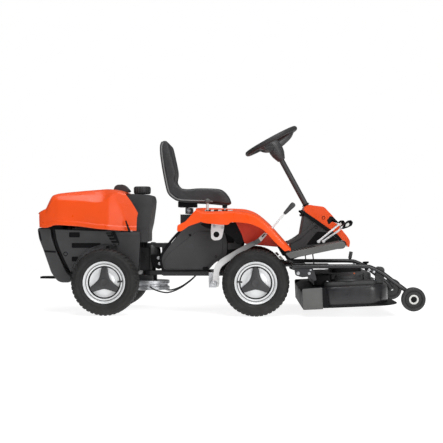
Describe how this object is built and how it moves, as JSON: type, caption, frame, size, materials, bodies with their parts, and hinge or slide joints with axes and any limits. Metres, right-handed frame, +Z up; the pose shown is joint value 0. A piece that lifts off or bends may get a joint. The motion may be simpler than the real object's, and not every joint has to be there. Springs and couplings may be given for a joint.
{
  "type": "riding lawn mower",
  "caption": "Articulated ride-on lawn mower with a rear engine, side levers, a sprung seat and a front-mounted cutting deck on a lifting frame.",
  "frame": {"origin": "on the ground, under the middle of the machine's overall length and width", "axes": "+X forward towards the cutting deck, +Y to the driver's left, +Z up"},
  "size_m": [2.23, 0.916, 1.1074],
  "materials": {
    "orange_cover": "glossy moulded orange",
    "dark_plastic": "fine-grained moulded plastic",
    "grey_plastic": "grained moulded plastic",
    "black_steel": "powder-coated steel",
    "bare_steel": "zinc-plated steel",
    "rim_paint": "silver wheel enamel",
    "rubber": "black rubber",
    "tyre": "treaded tyre rubber",
    "vinyl": "black seat vinyl",
    "cast_metal": "cast housing",
    "hub_cover": "black hub cover"
  },
  "bodies": {
    "chassis": {"main_frame": "black_steel", "front_axle": "cast_metal", "side_panel_right": "dark_plastic", "side_panel_left": "dark_plastic", "fender": "orange_cover", "footplate_right": "grey_plastic", "footplate_left": "grey_plastic", "console": "dark_plastic", "front_cover": "orange_cover", "steering_column": "black_steel", "seat_spring_right": "bare_steel", "seat_spring_left": "bare_steel", "lift_bracket": "bare_steel", "steering_cable_right": "rubber", "steering_cable_left": "rubber"},
    "rear_unit": {"rear_frame": "black_steel", "steering_drum": "bare_steel", "transaxle": "cast_metal", "engine": "cast_metal", "rear_bumper": "dark_plastic", "tow_hitch": "bare_steel", "engine_panel_right": "dark_plastic", "engine_panel_left": "dark_plastic", "cowl": "dark_plastic"},
    "hood": {"hood": "orange_cover"},
    "fuel_cap": {"fuel_cap": "rubber"},
    "front_wheel_right": {"front_tyre_right": "tyre", "front_rim_right": "rim_paint", "front_hub_cap_right": "hub_cover"},
    "front_wheel_left": {"front_tyre_left": "tyre", "front_rim_left": "rim_paint", "front_hub_cap_left": "hub_cover"},
    "rear_wheel_right": {"rear_tyre_right": "tyre", "rear_rim_right": "rim_paint", "rear_hub_cap_right": "hub_cover"},
    "rear_wheel_left": {"rear_tyre_left": "tyre", "rear_rim_left": "rim_paint", "rear_hub_cap_left": "hub_cover"},
    "steering_wheel": {"steering_wheel": "rubber"},
    "seat": {"seat_shell": "dark_plastic", "seat_cushion": "vinyl", "seat_backrest": "vinyl", "seat_bracket": "black_steel"},
    "lift_lever": {"lift_lever": "black_steel", "lift_lever_grip": "rubber"},
    "height_lever": {"height_lever": "grey_plastic"},
    "throttle_lever": {"throttle_lever": "rubber"},
    "forward_pedal": {"forward_pedal": "rubber"},
    "reverse_pedal": {"reverse_pedal": "rubber"},
    "brake_pedal": {"brake_pedal": "rubber"},
    "lift_frame": {"lift_frame": "black_steel"},
    "latch_handle": {"latch_handle": "rubber"},
    "support_wheel_right": {"support_wheel_right": "rubber"},
    "support_wheel_left": {"support_wheel_left": "rubber"},
    "deck": {"deck_shell": "black_steel", "deck_cover": "dark_plastic", "deck_guard": "grey_plastic"},
    "blade_right": {"blade_right": "bare_steel"},
    "blade_centre": {"blade_centre": "bare_steel"},
    "blade_left": {"blade_left": "bare_steel"}
  },
  "joints": [
    {"name": "articulation", "type": "hinge", "parent": "chassis", "child": "rear_unit", "pos_m": [-0.456, 0, 0.2], "axis": [0, 0, 1], "range_deg": [-35, 35]},
    {"name": "front_wheel_right_spin", "type": "hinge", "parent": "chassis", "child": "front_wheel_right", "pos_m": [0.17, -0.3575, 0.19], "axis": [0, 1, 0], "continuous": true},
    {"name": "front_wheel_left_spin", "type": "hinge", "parent": "chassis", "child": "front_wheel_left", "pos_m": [0.17, 0.3575, 0.19], "axis": [0, 1, 0], "continuous": true},
    {"name": "rear_wheel_right_spin", "type": "hinge", "parent": "rear_unit", "child": "rear_wheel_right", "pos_m": [-0.685, -0.3125, 0.19], "axis": [0, 1, 0], "continuous": true},
    {"name": "rear_wheel_left_spin", "type": "hinge", "parent": "rear_unit", "child": "rear_wheel_left", "pos_m": [-0.685, 0.3125, 0.19], "axis": [0, 1, 0], "continuous": true},
    {"name": "steering_turn", "type": "hinge", "parent": "chassis", "child": "steering_wheel", "pos_m": [0.305, 0, 0.955], "axis": [-0.4772, 0, 0.8788], "range_deg": [-280, 280]},
    {"name": "hood_open", "type": "hinge", "parent": "rear_unit", "child": "hood", "pos_m": [-1.105, 0, 0.51], "axis": [0, -1, 0], "range_deg": [0, 75]},
    {"name": "fuel_cap_turn", "type": "hinge", "parent": "rear_unit", "child": "fuel_cap", "pos_m": [-0.508, 0, 0.7], "axis": [0, 0, 1], "range_deg": [0, 180]},
    {"name": "seat_tilt", "type": "hinge", "parent": "chassis", "child": "seat", "pos_m": [0.015, 0, 0.628], "axis": [0, 1, 0], "range_deg": [0, 50]},
    {"name": "deck_lift", "type": "hinge", "parent": "chassis", "child": "lift_frame", "pos_m": [0.33, 0, 0.282], "axis": [0, -1, 0], "range_deg": [0, 7.5]},
    {"name": "lift_lever_pull", "type": "hinge", "parent": "chassis", "child": "lift_lever", "pos_m": [-0.069, -0.34, 0.182], "axis": [0, -1, 0], "range_deg": [0, 24]},
    {"name": "latch_turn", "type": "hinge", "parent": "lift_frame", "child": "latch_handle", "pos_m": [0.78, 0.395, 0.304], "axis": [0, 1, 0], "range_deg": [-30, 45]},
    {"name": "support_wheel_right_spin", "type": "hinge", "parent": "lift_frame", "child": "support_wheel_right", "pos_m": [1.048, -0.433, 0.1], "axis": [0, 1, 0], "continuous": true},
    {"name": "support_wheel_left_spin", "type": "hinge", "parent": "lift_frame", "child": "support_wheel_left", "pos_m": [1.048, 0.433, 0.1], "axis": [0, 1, 0], "continuous": true},
    {"name": "cut_height", "type": "slide", "parent": "lift_frame", "child": "deck", "axis": [0, 0, 1], "range_m": [-0.012, 0.018]},
    {"name": "height_lever_turn", "type": "hinge", "parent": "chassis", "child": "height_lever", "pos_m": [-0.103, -0.34, 0.618], "axis": [0, 1, 0], "range_deg": [-15, 21]},
    {"name": "blade_right_spin", "type": "hinge", "parent": "deck", "child": "blade_right", "pos_m": [0.70103, -0.285, 0.11865], "axis": [-0.0436, 0, 0.999], "continuous": true},
    {"name": "blade_centre_spin", "type": "hinge", "parent": "deck", "child": "blade_centre", "pos_m": [0.76497, 0, 0.12144], "axis": [-0.0436, 0, 0.999], "continuous": true},
    {"name": "blade_left_spin", "type": "hinge", "parent": "deck", "child": "blade_left", "pos_m": [0.70103, 0.285, 0.11865], "axis": [-0.0436, 0, 0.999], "continuous": true},
    {"name": "throttle_turn", "type": "hinge", "parent": "chassis", "child": "throttle_lever", "pos_m": [-0.005, -0.34, 0.604], "axis": [0, 1, 0], "range_deg": [-25, 25]},
    {"name": "forward_pedal_press", "type": "hinge", "parent": "chassis", "child": "forward_pedal", "pos_m": [0.562, -0.232, 0.42], "axis": [0, 1, 0], "range_deg": [0, 15], "stiffness_Nm_per_rad": 8, "springref_deg": -8.59},
    {"name": "brake_pedal_press", "type": "hinge", "parent": "chassis", "child": "brake_pedal", "pos_m": [0.562, 0.24, 0.42], "axis": [0, 1, 0], "range_deg": [0, 15], "stiffness_Nm_per_rad": 8, "springref_deg": -8.59},
    {"name": "reverse_pedal_press", "type": "hinge", "parent": "chassis", "child": "reverse_pedal", "pos_m": [0.53, -0.29, 0.42], "axis": [0, 1, 0], "range_deg": [0, 14], "stiffness_Nm_per_rad": 8, "springref_deg": -8.59}
  ],
  "couplings": [
    {"joint": "steering_turn", "follows": "articulation", "ratio": -8},
    {"joint": "lift_lever_pull", "follows": "deck_lift", "ratio": 3.2},
    {"joint": "height_lever_turn", "follows": "cut_height", "rad_per_m": 20},
    {"joint": "blade_centre_spin", "follows": "blade_right_spin", "ratio": 1},
    {"joint": "blade_left_spin", "follows": "blade_right_spin", "ratio": 1}
  ]
}
